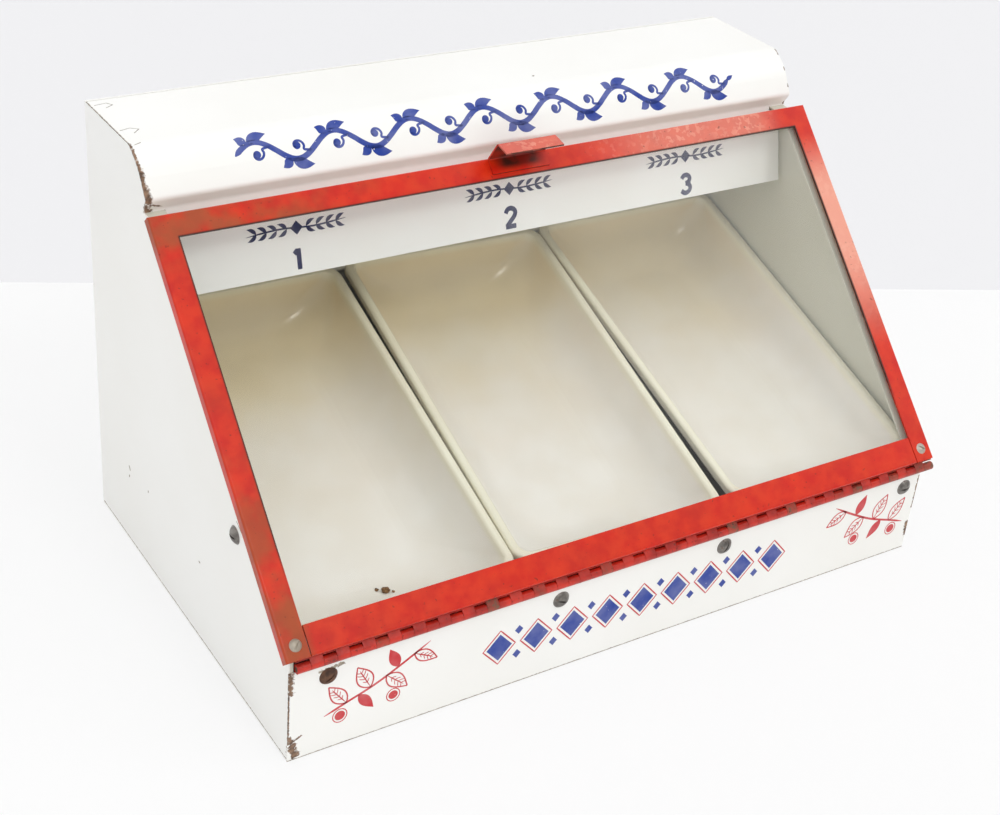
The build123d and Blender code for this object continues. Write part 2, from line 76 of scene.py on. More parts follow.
def maths(tree, operation, *values, clamp=False):
    made = addNode(tree, "Math", dict(enumerate(values)), operation=operation, use_clamp=clamp)
    return made.outputs[0]


def times(tree, total, *others):
    for other in others:
        total = maths(tree, "MULTIPLY", total, other)
    return total


def strongest(tree, total, *others):
    for other in others:
        total = maths(tree, "MAXIMUM", total, other)
    return total


def vectors(tree, operation, *values, output=0):
    made = addNode(tree, "VectorMath", dict(enumerate(values)), operation=operation)
    return made.outputs[output]


def dotProduct(tree, first, second):
    return vectors(tree, "DOT_PRODUCT", first, second, output=1)


def separate(tree, vector):
    return addNode(tree, "SeparateXYZ", {0: vector}).outputs


def ramp(tree, value, low, high, toLow=0.0, toHigh=1.0):
    # smooth step between two values, clamped outside them
    inputs = dict(enumerate((value, low, high, toLow, toHigh)))
    return addNode(tree, "MapRange", inputs, interpolation_type="SMOOTHSTEP").outputs[0]


def newGroup(name, inputs, outputs):
    group = bpy.data.node_groups.new(name, "ShaderNodeTree")
    for label, kind, default in inputs:
        made = group.interface.new_socket(label, in_out="INPUT", socket_type="NodeSocket" + kind)
        if default is not None:
            made.default_value = default
    for label, kind in outputs:
        group.interface.new_socket(label, in_out="OUTPUT", socket_type="NodeSocket" + kind)
    source = group.nodes.new("NodeGroupInput")
    target = group.nodes.new("NodeGroupOutput")
    return group, source.outputs, target.inputs


def useGroup(tree, group, inputs):
    made = tree.nodes.new("ShaderNodeGroup")
    made.node_tree = group
    for name, value in inputs.items():
        plug(tree, made.inputs[name], value)
    return made.outputs


# Effects that several finishes share
def noiseOf(group, given, scale, detail):
    inputs = {"Vector": given["Point"], "Scale": given[scale], "Detail": detail}
    return addNode(group, "TexNoise", inputs).outputs[0]


def makeWearStroke():
    # ragged mark along a straight line from Start to End
    group, given, result = newGroup(
        "wearStroke",
        [
            ("Point", "Vector", None),
            ("Start", "Vector", None),
            ("End", "Vector", None),
            ("Width", "Float", 0.001),
            ("Ragged", "Float", 0.001),
            ("Grain", "Float", 700.0),
        ],
        [("Mask", "Float")],
    )
    along = vectors(group, "SUBTRACT", given["End"], given["Start"])
    reach = vectors(group, "SUBTRACT", given["Point"], given["Start"])
    lengths = (dotProduct(group, reach, along), dotProduct(group, along, along))
    share = maths(group, "DIVIDE", *lengths, clamp=True)
    nearest = addNode(group, "VectorMath", {0: along, "Scale": share}, operation="SCALE").outputs[0]
    distance = vectors(group, "DISTANCE", reach, nearest, output=1)
    noise = noiseOf(group, given, "Grain", 3.0)
    shift = times(group, maths(group, "SUBTRACT", noise, 0.5), given["Ragged"], 2.0)
    core = times(group, given["Width"], 0.4)  # full wear inside this
    ragged = maths(group, "ADD", distance, shift)
    group.links.new(ramp(group, ragged, given["Width"], core), result["Mask"])
    return group


def makeSpeckle():
    # scattered flecks of one size; Amount is the share that they cover
    group, given, result = newGroup(
        "speckle",
        [("Point", "Vector", None), ("Scale", "Float", 400.0), ("Amount", "Float", 0.3)],
        [("Mask", "Float")],
    )
    level = maths(group, "SUBTRACT", 0.78, times(group, given["Amount"], 0.5))
    high = maths(group, "ADD", level, 0.08)
    noise = noiseOf(group, given, "Scale", 4.0)
    group.links.new(ramp(group, noise, level, high), result["Mask"])
    return group


def makeBlotch():
    # slow variation from 0 to 1 with soft borders
    group, given, result = newGroup(
        "blotch",
        [("Point", "Vector", None), ("Scale", "Float", 12.0), ("Contrast", "Float", 0.5)],
        [("Value", "Float")],
    )
    spread = maths(group, "DIVIDE", 0.22, maths(group, "ADD", given["Contrast"], 0.2))
    low = maths(group, "SUBTRACT", 0.5, spread)
    high = maths(group, "ADD", 0.5, spread)
    noise = noiseOf(group, given, "Scale", 3.0)
    group.links.new(ramp(group, noise, low, high), result["Value"])
    return group


def makeOrangePeel():
    # height of sprayed and baked enamel
    sockets = [("Point", "Vector", None), ("Scale", "Float", 450.0)]
    group, given, result = newGroup("orangePeel", sockets, [("Height", "Float")])
    group.links.new(noiseOf(group, given, "Scale", 2.0), result["Height"])
    return group


wearStroke = makeWearStroke()
speckle = makeSpeckle()
blotch = makeBlotch()
orangePeel = makeOrangePeel()
print("shared effects ready")


class Finish:
    # a material in the making; labels name the values of its look
    def __init__(self, name, look):
        self.material = bpy.data.materials.new(name)
        self.material.use_nodes = True
        self.tree = self.material.node_tree
        self.shader = self.tree.nodes["Principled BSDF"]
        self.place = addNode(self.tree, "TexCoord").outputs["Object"]
        self.look = look

    def blotches(self, label):
        scale, contrast = self.look[label]
        inputs = {"Point": self.place, "Scale": scale, "Contrast": contrast}
        return useGroup(self.tree, blotch, inputs)[0]

    def specks(self, label):
        scale, amount, strength = self.look[label]
        inputs = {"Point": self.place, "Scale": scale, "Amount": amount}
        return times(self.tree, useGroup(self.tree, speckle, inputs)[0], strength)

    def strokes(self, label):
        # the strongest of several wear strokes; each is start, end, width and raggedness in mm
        masks = []
        for start, end, width, ragged in self.look[label]:
            inputs = {
                "Point": self.place,
                "Start": Vector(start) / 1000,
                "End": Vector(end) / 1000,
                "Width": width / 1000,
                "Ragged": ragged / 1000,
            }
            masks.append(useGroup(self.tree, wearStroke, inputs)[0])
        return strongest(self.tree, *masks)

    def mix(self, factor, first, second):
        made = addNode(self.tree, "Mix", data_type="RGBA")
        for index, value in ((0, factor), (6, first), (7, second)):
            value = self.look[value] if isinstance(value, str) else value
            plug(self.tree, made.inputs[index], value)
        return made.outputs[2]

    def spread(self, mask, label):
        return ramp(self.tree, mask, 0.0, 1.0, *self.look[label])

    def bump(self, height, strength, distance):
        inputs = {"Height": height, "Strength": strength, "Distance": distance}
        bump = addNode(self.tree, "Bump", inputs)
        self.tree.links.new(bump.outputs[0], self.shader.inputs["Normal"])

    def done(self, colour, roughness=None):
        # links what varies and sets what is the same all over
        self.tree.links.new(colour, self.shader.inputs["Base Color"])
        if roughness:
            self.tree.links.new(roughness, self.shader.inputs["Roughness"])
        for name, value in self.look.get("fixed", {}).items():
            self.shader.inputs[name].default_value = value
        if "peel" in self.look:
            scale, *depth = self.look["peel"]
            inputs = {"Point": self.place, "Scale": scale}
            self.bump(useGroup(self.tree, orangePeel, inputs)[0], *depth)
        return self.material


def dress(material, *names):
    for name in names:
        slots = nodes[name].data.materials
        slots.clear()
        slots.append(material)


# White enamel
whiteBase = {
    "colour": srgb(245, 245, 242),
    "aged": srgb(238, 237, 231),
    "drift": (9.0, 0.3),  # scale and contrast of the slow change in tone
    "fleck": srgb(196, 186, 170),
    "flecks": (260.0, 0.02, 0.35),  # scale, share that they cover and strength
    "innerFace": (0.1854, 0.1851),  # m from the middle, where the painted shade of the inner face starts and is full
    "marks": {
        # soil marks, which also paint contact shade along the panels' bottom edges
        "soil": (srgb(120, 108, 92), srgb(170, 160, 142)),
        "rust": (srgb(74, 54, 42), srgb(150, 118, 92)),
        "crack": (srgb(96, 84, 70), srgb(160, 148, 128)),
    },
    "grain": (420.0, 0.6),  # scale and contrast in the marks
    "roughness": (0.29, 0.32),
    "markRoughness": 0.75,
    "fixed": {"Coat Weight": 0.25, "Coat Roughness": 0.08},
    "peel": (140.0, 0.015, 0.0002),  # scale, strength, and depth in m
}
coverLook = whiteBase | {
    "rust": [
        ((-186, 56, 227), (-185.6, 46, 220), 1.1, 1.4),
        ((-185.8, 46, 220), (-185.2, 38, 209), 1.9, 1.8),
        ((-185.4, 40, 212), (-184.6, 38, 206), 2.6, 1.8),
        ((-185, 38.5, 204.2), (-177.4, 41.4, 202.6), 0.8, 0.5),
        ((-185.4, 40.5, 203.6), (-183.6, 41.4, 200.2), 1.9, 2.4),
        ((-185.4, 39, 208), (-183, 41, 204), 1.6, 2.2),
        ((186, 55.6, 227), (186, 52, 225.2), 0.8, 0.6),
        ((186, 46, 219.8), (186, 45.3, 216.6), 0.9, 0.8),
        ((186, 40.4, 213), (186, 40, 211), 0.8, 0.7),
        ((185.5, 42, 204), (185.5, 41.2, 200.8), 0.9, 0.8),
    ],
    "crack": [
        ((-186, 111.5, 227), (-186, 56, 227), 0.55, 0.5),
        ((-185, 55, 226.9), (-180.5, 56.5, 227), 0.35, 0.2),
        ((-184, 104, 227), (-178, 105, 227), 0.3, 0.1),
        ((-178, 105, 227), (-176, 102, 227), 0.3, 0.1),
        ((-176, 102, 227), (-180, 99.5, 227), 0.3, 0.1),
        ((-184, 72, 227), (-179, 73.5, 227), 0.3, 0.1),
        ((-179, 73.5, 227), (-175.5, 71, 227), 0.3, 0.1),
        ((-175.5, 71, 227), (-179, 67.5, 227), 0.3, 0.1),
        ((34, 66, 227), (34.6, 66.4, 227), 0.8, 0.4),
    ],
}
leftLook = whiteBase | {
    # inner face: painted shade and cream bounce from the bins
    "inside": srgb(206, 205, 190),
    "soil": [
        # first: painted contact shade along the bottom edge; the rest are soil marks
        ((-186, -111, 0.4), (-186, 111, 0.4), 0.9, 0.5),
        ((-186, 71, 47), (-186, 70, 45.5), 0.8, 0.6),
        ((-186, 71, 41.5), (-186, 71.4, 40.5), 0.7, 0.5),
        ((-186, 46, 47.4), (-186, 46.4, 46.6), 0.7, 0.5),
        ((-186, -17, 46), (-186, -16, 46), 0.6, 0.5),
        ((-186, -63, 93), (-186, -58, 96), 0.5, 0.8),
    ],
    "rust": [
        ((-186, -111.4, 50), (-186, -111.4, 3), 0.6, 0.8),
        ((-186, -111.4, 9), (-186, -111.4, 2), 1.4, 1.6),
        # rust along the bottom edge, with painted contact shade
        ((-186, -111, 0.5), (-186, 111, 0.5), 1.2, 0.7),
        ((-186, 36, 205.5), (-186, 31, 205), 1.2, 1.4),
        ((-186, 38, 204), (-186, 34.5, 199), 0.9, 1.0),
    ],
}
rightLook = whiteBase | {
    # inner face: painted shade and cream bounce from the bins
    "inside": srgb(206, 205, 190),
    # painted contact shade along the bottom edge
    "soil": [((186, -111, 0.4), (186, 111, 0.4), 0.9, 0.5)],
    "rust": [
        ((186, -111.4, 40), (186, -111.4, 26), 0.5, 0.5),
        ((186, -111.4, 16), (186, -111.4, 3), 0.8, 0.9),
    ],
}
frontLook = whiteBase | {
    "rust": [
        ((-185.4, -111.5, 50), (-185.2, -111.5, 39), 2.0, 2.8),
        ((-186, -111.5, 39), (-186, -111.5, 10), 0.8, 0.6),
        ((-185, -111.5, 13), (-183.4, -111.5, 9), 1.6, 2.6),
        ((-184, -111.5, 8), (-182.2, -111.5, 2.5), 2.6, 3.2),
        ((-183, -111.5, 11), (-179.5, -111.5, 13), 0.7, 1.0),
        ((185.6, -111.5, 47), (185.8, -111.5, 27), 0.9, 1.1),
        ((184.6, -111.5, 17), (185.4, -111.5, 9), 1.5, 1.6),
        ((-168, -111.5, 50), (-128, -111.5, 50), 0.8, 1.2),
    ],
    "soil": [
        ((-171, -111.5, 46), (-160, -111.5, 47), 1.2, 2.2),
        # painted contact shade along the bottom edge
        ((-186, -111.5, 0.2), (186, -111.5, 0.2), 0.7, 0.5),
    ],
}


def makeWhiteEnamel(name, look):
    paint = Finish(name, look)
    tree = paint.tree
    slow = paint.blotches("drift")
    colour = paint.mix(slow, "colour", "aged")
    if "inside" in look:  # painted shade and cream bounce from the bins on the panel's inner face
        fromMiddle = maths(tree, "ABSOLUTE", separate(tree, paint.place)[0])
        colour = paint.mix(ramp(tree, fromMiddle, *look["innerFace"]), colour, "inside")
    colour = paint.mix(paint.specks("flecks"), colour, "fleck")
    roughness = paint.spread(slow, "roughness")
    for label, (dark, light) in look["marks"].items():
        if label in look:
            mask = paint.strokes(label)
            tone = paint.mix(paint.blotches("grain"), dark, light)
            colour = paint.mix(mask, colour, tone)
            roughness = strongest(tree, roughness, times(tree, mask, look["markRoughness"]))
    return paint.done(colour, roughness)


dress(makeWhiteEnamel("whiteEnamelCover", coverLook), "top_cover")
dress(makeWhiteEnamel("whiteEnamelLeft", leftLook), "side_panel_left")
dress(makeWhiteEnamel("whiteEnamelRight", rightLook), "side_panel_right")
dress(makeWhiteEnamel("whiteEnamelFront", frontLook), "front_panel")
backLook = whiteBase | {"flecks": (260.0, 0.06, 0.35)}
dress(makeWhiteEnamel("whiteEnamelBack", backLook), "back_panel", "base_pan")
print("white enamel done")


# Red enamel of the door
tabLow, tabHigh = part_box("door_handle")
redLook = {
    "colour": srgb(208, 26, 6),
    "deep": srgb(188, 24, 6),
    "drift": (26.0, 0.5),
    "orange": srgb(224, 60, 16),
    "mottle": (130.0, 0.9),
    "orangeStrength": 0.5,
    "patina": srgb(132, 84, 42),
    "patches": (60.0, 1.2),
    "patinaTrace": 0.12,  # how much of it there is outside its zones
    "patinaStrength": 0.62,
    # paler worn paint, which also stands for painted sheen on the top and right rails
    "paleWearSheen": srgb(234, 166, 144),
    "paleFlecks": (330.0, 0.55, 0.6),
    "paleBlotches": (45.0, 0.8),
    "paleWearAndSheen": {"sheenRubbedTop": 0.42, "sheenRubbedRight": 0.85, "rubbedTab": 0.3},
    "grimeAndShade": srgb(58, 34, 26),
    "pits": (560.0, 0.26, 0.5),
    "sootAndShade": (140.0, 0.8),
    "shadeSootOnTab": (0.0, 0.6, 0.55, 0.9),  # range of the blotches, and of the soot and painted shade that they give
    "shadowSootBelowTab": (0.0, 0.8, 0.6, 0.95),
    "tabMiddle": (tabLow[0] + tabHigh[0]) / 2,
    "tab": False,
    "roughness": 0.29,
    "roughnessDrift": 0.08,
    "roughnessRubbed": 0.12,
    "roughnessPatina": 0.5,
    "fixed": {"Specular IOR Level": 0.3, "Coat Weight": 0.08, "Coat Roughness": 0.1},
    "peel": (450.0, 0.12, 0.0002),
    "foot": (0, -0.1151, 0.0600),  # on the door's face, in m
    "slope": math.radians(45),
}
# where each effect starts and where it is full, in m across the door, up its slope, out from its
# face, from its middle and from the tab's middle; lean is the height of the normal
redZones = {
    "patinaLow": [("across", -0.172, -0.18), ("up", 0.16, 0.02)],
    "patinaTop": [("across", -0.04, -0.15), ("up", 0.165, 0.195)],
    # these two rail zones hold painted sheen as well as wear
    "sheenRubbedTop": [("across", 0.03, 0.1), ("up", 0.185, 0.195), ("across", 0.174, 0.15)],
    "sheenRubbedRight": [("across", 0.17, 0.18), ("up", 0.06, 0.125), ("up", 0.19, 0.155)],
    "rubbedTab": [("out", 0.0125, 0.0145)],
    "innerEdges": [("fromMiddle", 0.1787, 0.1776), ("up", 0.03, 0.05), ("up", 0.1936, 0.1926)],
    # painted shade on the tab's lower faces and painted shadow of the tab below it, with soot
    "shadeSootOnTab": [("lean", 0.1, -0.2)],
    "shadowSootBelowTab": [("fromTab", 0.0155, 0.007), ("out", 0.0145, 0.01), ("up", 0.1955, 0.1995)],
}


def makeDoorPlace(look):
    # place on the door: across it, up its slope and out from its face
    outputs = [("Across", "Float"), ("Up", "Float"), ("Out", "Float")]
    group, given, result = newGroup("doorPlace", [("Point", "Vector", None)], outputs)
    foot = vectors(group, "SUBTRACT", given["Point"], Vector(look["foot"]))
    upward = Vector((0, math.cos(look["slope"]), math.sin(look["slope"])))
    outward = Vector((0, -math.sin(look["slope"]), math.cos(look["slope"])))
    group.links.new(separate(group, foot)[0], result["Across"])
    group.links.new(dotProduct(group, foot, upward), result["Up"])
    group.links.new(dotProduct(group, foot, outward), result["Out"])
    return group


doorPlace = makeDoorPlace(redLook)


def makeRedEnamel(name, look):
    paint = Finish(name, look)
    tree = paint.tree
    across, up, out = useGroup(tree, doorPlace, {"Point": paint.place})
    fromMiddle = maths(tree, "ABSOLUTE", across)
    ways = {"across": across, "up": up, "out": out, "fromMiddle": fromMiddle}

    def zone(label):
        return times(tree, *[ramp(tree, ways[way], *ends) for way, *ends in redZones[label]])

    slow, mottled = paint.blotches("drift"), paint.blotches("mottle")
    colour = paint.mix(slow, "colour", "deep")
    colour = paint.mix(times(tree, mottled, look["orangeStrength"]), colour, "orange")

    # olive brown patina where hands and heat reached
    where = strongest(tree, zone("patinaLow"), zone("patinaTop"), look["patinaTrace"])
    patina = maths(tree, "MULTIPLY", paint.blotches("patches"), where, clamp=True)
    colour = paint.mix(times(tree, patina, look["patinaStrength"]), colour, "patina")

    # paler, rubbed paint on the right half of the top rail, the right rail and the tab; on the two
    # rails it is also a painted sheen
    sheenAndWearZones = {label: zone(label) for label in look["paleWearAndSheen"]}
    paleWearAndSheen = [times(tree, mask, look["paleWearAndSheen"][label]) for label, mask in sheenAndWearZones.items()]
    colour = paint.mix(strongest(tree, *paleWearAndSheen), colour, "paleWearSheen")
    where = strongest(tree, *sheenAndWearZones.values())
    rubbed = times(tree, paint.specks("paleFlecks"), paint.blotches("paleBlotches"), where)
    colour = paint.mix(rubbed, colour, "paleWearSheen")

    # dark grime in fine pits everywhere, and darker along the inner edges
    grimeAndShade = strongest(tree, paint.specks("pits"), zone("innerEdges"))
    if look["tab"]:  # soot and painted shade on the tab's downward faces; below the tab, soot with the tab's painted shadow
        ways["lean"] = separate(tree, addNode(tree, "NewGeometry").outputs["Normal"])[2]
        aside = maths(tree, "SUBTRACT", across, look["tabMiddle"])
        ways["fromTab"] = maths(tree, "ABSOLUTE", aside)
        for label, patches in (("shadeSootOnTab", paint.blotches("sootAndShade")), ("shadowSootBelowTab", mottled)):
            sootAndShade = times(tree, zone(label), ramp(tree, patches, *look[label]))
            grimeAndShade = strongest(tree, grimeAndShade, sootAndShade)
    colour = paint.mix(grimeAndShade, colour, "grimeAndShade")

    roughness = maths(tree, "ADD", look["roughness"], times(tree, slow, look["roughnessDrift"]))
    roughness = maths(tree, "ADD", roughness, times(tree, where, look["roughnessRubbed"]))
    roughness = strongest(tree, roughness, times(tree, patina, look["roughnessPatina"]))
    return paint.done(colour, roughness)


redEnamel = makeRedEnamel("redEnamel", redLook)
dress(redEnamel, "door_side_rail_left", "door_side_rail_right")
dress(redEnamel, "door_top_rail", "door_bottom_rail")
dress(makeRedEnamel("redEnamelHandle", redLook | {"tab": True}), "door_handle")

hingeLook = {
    "paint": srgb(206, 48, 30),
    "deep": srgb(160, 34, 24),
    "drift": (120.0, 0.7),
    "pitch": 0.00635,  # m from knuckle to knuckle
    "start": -0.18303,
    # a knuckle is rubbed where its draw passes this limit, at the left end and at the right end
    "limit": (-0.16, 0.16, 0.86, 0.5),
    "bare": srgb(126, 92, 74),
    "bareLeast": 0.45,
    "scraped": (480.0, 0.5, 0.5),
    "dark": srgb(64, 40, 32),
    "pits": (600.0, 0.3, 0.6),
    "metallic": 0.5,
    "roughness": (0.34, 0.5),
    "peel": (700.0, 0.25, 0.0005),
}


def makeHingePaint(look):
    paint = Finish("hingePaint", look)
    tree = paint.tree
    across = separate(tree, paint.place)[0]
    colour = paint.mix(paint.blotches("drift"), "paint", "deep")
    along = maths(tree, "SUBTRACT", across, look["start"])
    knuckle = maths(tree, "FLOOR", maths(tree, "DIVIDE", along, look["pitch"]))
    draw = addNode(tree, "TexWhiteNoise", {"W": knuckle}, noise_dimensions="1D").outputs["Value"]
    limit = ramp(tree, across, *look["limit"])
    rubbed = ramp(tree, maths(tree, "SUBTRACT", draw, limit), 0.0, 0.12)
    bare = times(tree, rubbed, maths(tree, "ADD", look["bareLeast"], paint.specks("scraped")))
    colour = paint.mix(bare, colour, "bare")
    colour = paint.mix(paint.specks("pits"), colour, "dark")
    tree.links.new(times(tree, bare, look["metallic"]), paint.shader.inputs["Metallic"])
    return paint.done(colour, paint.spread(bare, "roughness"))


hingePaint = makeHingePaint(hingeLook)
dress(hingePaint, "hinge_lower_leaf", "hinge_upper_leaf")
print("red enamel done")


# Ivory bins, browned by heat towards the back; the brown there is also painted shade under the top
binLook = {
    "colour": srgb(244, 240, 234),
    "drift": (14.0, 0.5),
    "driftReach": 0.05,  # m that the borders of the tones wander
    "warm": srgb(241, 234, 222),
    "warmFrom": (0.03, 0.15),  # m from the front along the floor
    # heat stain with painted shade towards the back
    "brownStainShade": srgb(238, 221, 186),
    "brownStainShadeFrom": (0.1, 0.2),
    "rim": srgb(242, 238, 214),
    "rimFrom": (-0.006, -0.001),  # m up from the rim's top
    "rimStrength": 0.7,
    "oil": srgb(206, 186, 148),
    "oilPatches": (38.0, 0.9),
    "oilStrength": 0.12,
    "fleck": srgb(150, 118, 80),
    "flecks": (300.0, 0.05, 0.25),
    "roughness": (0.2, 0.26),
    "fixed": {"Coat Weight": 0.2, "Coat Roughness": 0.1},
    "peel": (60.0, 0.04, 0.0004),
    "slope": math.radians(17.8),
    "front": (0, -0.1027, 0.0623),  # on the rims' plane, in m
}


def makeBinPlastic(look):
    plastic = Finish("binPlastic", look)
    tree = plastic.tree
    front = vectors(tree, "SUBTRACT", plastic.place, Vector(look["front"]))
    backward = Vector((0, math.cos(look["slope"]), math.sin(look["slope"])))
    upward = Vector((0, -math.sin(look["slope"]), math.cos(look["slope"])))
    slow = maths(tree, "SUBTRACT", plastic.blotches("drift"), 0.5)
    drift = times(tree, slow, look["driftReach"])
    along = maths(tree, "ADD", dotProduct(tree, front, backward), drift)
    colour = plastic.mix(ramp(tree, along, *look["warmFrom"]), "colour", "warm")
    colour = plastic.mix(ramp(tree, along, *look["brownStainShadeFrom"]), colour, "brownStainShade")
    onRim = ramp(tree, dotProduct(tree, front, upward), *look["rimFrom"])
    colour = plastic.mix(times(tree, onRim, look["rimStrength"]), colour, "rim")
    oil = plastic.blotches("oilPatches")
    colour = plastic.mix(times(tree, oil, look["oilStrength"]), colour, "oil")
    colour = plastic.mix(plastic.specks("flecks"), colour, "fleck")
    return plastic.done(colour, plastic.spread(oil, "roughness"))


dress(makeBinPlastic(binLook), "bin_left", "bin_centre", "bin_right")

# Plain painted and moulded parts with a little variation
signLook = {
    "colour": srgb(246, 245, 243),
    "aged": srgb(240, 238, 233),
    "drift": (16.0, 0.6),
    "fleck": srgb(190, 182, 168),
    "flecks": (280.0, 0.04, 0.6),
    "roughness": (0.32, 0.42),
    "peel": (600.0, 0.1, 0.0004),
}
ledgeLook = signLook | {
    "colour": srgb(226, 224, 216),
    "aged": srgb(206, 200, 186),
    "flecks": (280.0, 0.12, 0.6),
}
zincLook = {
    "colour": srgb(176, 178, 180),
    "aged": srgb(142, 142, 140),
    "drift": (90.0, 0.6),
    "fleck": srgb(108, 96, 84),
    "flecks": (500.0, 0.18, 0.6),
    "roughness": (0.35, 0.55),
    "fixed": {"Metallic": 0.9},
    "peel": (600.0, 0.25, 0.0004),
}
doorScrewLook = zincLook | {
    "colour": srgb(214, 208, 198),
    "aged": srgb(176, 166, 150),
    "flecks": (500.0, 0.1, 0.6),
}
capLook = zincLook | {"colour": srgb(190, 180, 150), "aged": srgb(160, 146, 112)}
pinLook = zincLook | {
    "colour": srgb(128, 112, 100),
    "aged": srgb(92, 74, 62),
    "flecks": (500.0, 0.4, 0.6),
}
holderLook = signLook | {
    "colour": srgb(46, 42, 40),
    "aged": srgb(60, 54, 50),
    "fleck": srgb(96, 90, 84),
}
rubberLook = holderLook | {
    "colour": srgb(34, 34, 35),
    "aged": srgb(48, 47, 46),
    "roughness": (0.6, 0.75),
}


def makePlain(name, look):
    paint = Finish(name, look)
    slow = paint.blotches("drift")
    colour = paint.mix(slow, "colour", "aged")
    colour = paint.mix(paint.specks("flecks"), colour, "fleck")
    return paint.done(colour, paint.spread(slow, "roughness"))


dress(makePlain("signEnamel", signLook), "sign_strip")
dress(makePlain("ledgeEnamel", ledgeLook), "front_ledge", "rear_ledge")
zincSteel = makePlain("zincSteel", zincLook)
dress(zincSteel, "hinge_nuts", "side_nut", "door_corner_keys")
dress(zincSteel, "lamp_bracket_left", "lamp_bracket_right", "back_screws", "bracket_screws")
dress(makePlain("doorScrewSteel", doorScrewLook), "door_screws")
dress(makePlain("lampCapMetal", capLook), "lamp_cap_left", "lamp_cap_right")
dress(makePlain("hingeSteel", pinLook), "hinge_pin")
dress(makePlain("holderPlastic", holderLook), "lampholder_left", "lampholder_right")
dress(makePlain("grommetRubber", rubberLook), "cord_grommet")

screwLook = {
    "steel": srgb(150, 146, 140),
    "dull": srgb(104, 100, 96),
    "rust": srgb(112, 78, 56),
    "rustDark": srgb(66, 46, 36),
    "grain": (350.0, 0.7),
    "rustyAcross": (-0.11, -0.12),  # only the leftmost front screw has rusted through
    "rustyDepth": (-0.09, -0.1),
    "flecks": (420.0, 0.35, 0.5),
    "metallic": (0.8, 0.1),  # clean and rusty
    "roughness": (0.4, 0.75),
    "bump": (0.3, 0.0003),
}


def makeScrewSteel(look):
    metal = Finish("screwSteel", look)
    tree = metal.tree
    across, depth = separate(tree, metal.place)[:2]
    grain = metal.blotches("grain")
    steel = metal.mix(grain, "steel", "dull")
    rust = metal.mix(grain, "rust", "rustDark")
    onFront = ramp(tree, depth, *look["rustyDepth"])
    rusty = times(tree, ramp(tree, across, *look["rustyAcross"]), onFront)
    rusty = strongest(tree, rusty, metal.specks("flecks"))
    tree.links.new(metal.spread(rusty, "metallic"), metal.shader.inputs["Metallic"])
    metal.bump(grain, *look["bump"])
    return metal.done(metal.mix(rusty, steel, rust), metal.spread(rusty, "roughness"))


dress(makeScrewSteel(screwLook), "hinge_screws", "side_screw")
print("bins, sign and metal done")

# Glass
paneLook = {
    "clear": (0.985, 0.99, 0.985, 1),
    "filmed": (0.97, 0.975, 0.96, 1),
    "film": (20.0, 0.5),
    "roughness": (0.0, 0.008),
    "fixed": {"Transmission Weight": 1.0, "IOR": 1.45},
    "passing": (0.96, 0.97, 0.96, 1),  # what it leaves of the light that goes through
}
lampLook = {
    "colour": srgb(240, 238, 230),
    "aged": srgb(226, 220, 206),
    "drift": (60.0, 0.5),
    "roughness": (0.35, 0.5),
    "fixed": {"Subsurface Weight": 0.2},
}


def mixSurface(tree, factor, first, second):
    inputs = {0: factor, 1: first.outputs[0], 2: second.outputs[0]}
    mixed = addNode(tree, "MixShader", inputs)
    tree.links.new(mixed.outputs[0], tree.nodes["Material Output"].inputs["Surface"])
    return mixed


def makeDoorGlass(look):
    glass = Finish("doorGlass", look)
    film = glass.blotches("film")
    path = addNode(glass.tree, "LightPath").outputs
    passing = strongest(glass.tree, path["Is Shadow Ray"], path["Is Diffuse Ray"])
    clear = addNode(glass.tree, "BsdfTransparent", {"Color": look["passing"]})
    mixSurface(glass.tree, passing, glass.shader, clear)
    return glass.done(glass.mix(film, "clear", "filmed"), glass.spread(film, "roughness"))


def makeLampGlass(look):
    glass = Finish("lampGlass", look)
    slow = glass.blotches("drift")
    return glass.done(glass.mix(slow, "colour", "aged"), glass.spread(slow, "roughness"))


dress(makeDoorGlass(paneLook), "door_glass")
dress(makeLampGlass(lampLook), "lamp_glass_left", "lamp_glass_right")
print("glass done")

# Printed ornament and figures, as thin closed films laid on the sheet metal
inkLook = {
    "film": 0.00006,  # m above the sheet
    "seat": 0.00004,  # m below it
    "columns": 4,
    "drift": (90.0, 0.6),
    "white": (1, 1, 1, 1),
    "fade": 0.12,
    "roughness": (0.4, 0.5),
    "fixed": {"Specular IOR Level": 0.3},
    "peel": (700.0, 0.08, 0.0002),
}


def makeInk(name, colour, worn, amount):
    # worn shows in the gaps, and amount is their share
    ink = Finish(name, inkLook | {"colour": colour, "worn": worn, "gaps": (620.0, amount, 0.8)})
    slow = ink.blotches("drift")
    tone = ink.mix(slow, "colour", ink.mix("fade", "colour", "white"))
    return ink.done(ink.mix(ink.specks("gaps"), tone, "worn"), ink.spread(slow, "roughness"))


blueInk = makeInk("blueInk", srgb(16, 54, 148), srgb(236, 236, 238), 0.2)
navyInk = makeInk("navyInk", srgb(18, 24, 80), srgb(220, 220, 220), 0.04)
redInk = makeInk("redInk", srgb(198, 30, 40), srgb(238, 236, 234), 0.16)


def skinOf(name):
    mesh = nodes[name].data
    corners = [vertex.co for vertex in mesh.vertices]
    return BVHTree.FromPolygons(corners, [tuple(face.vertices) for face in mesh.polygons])


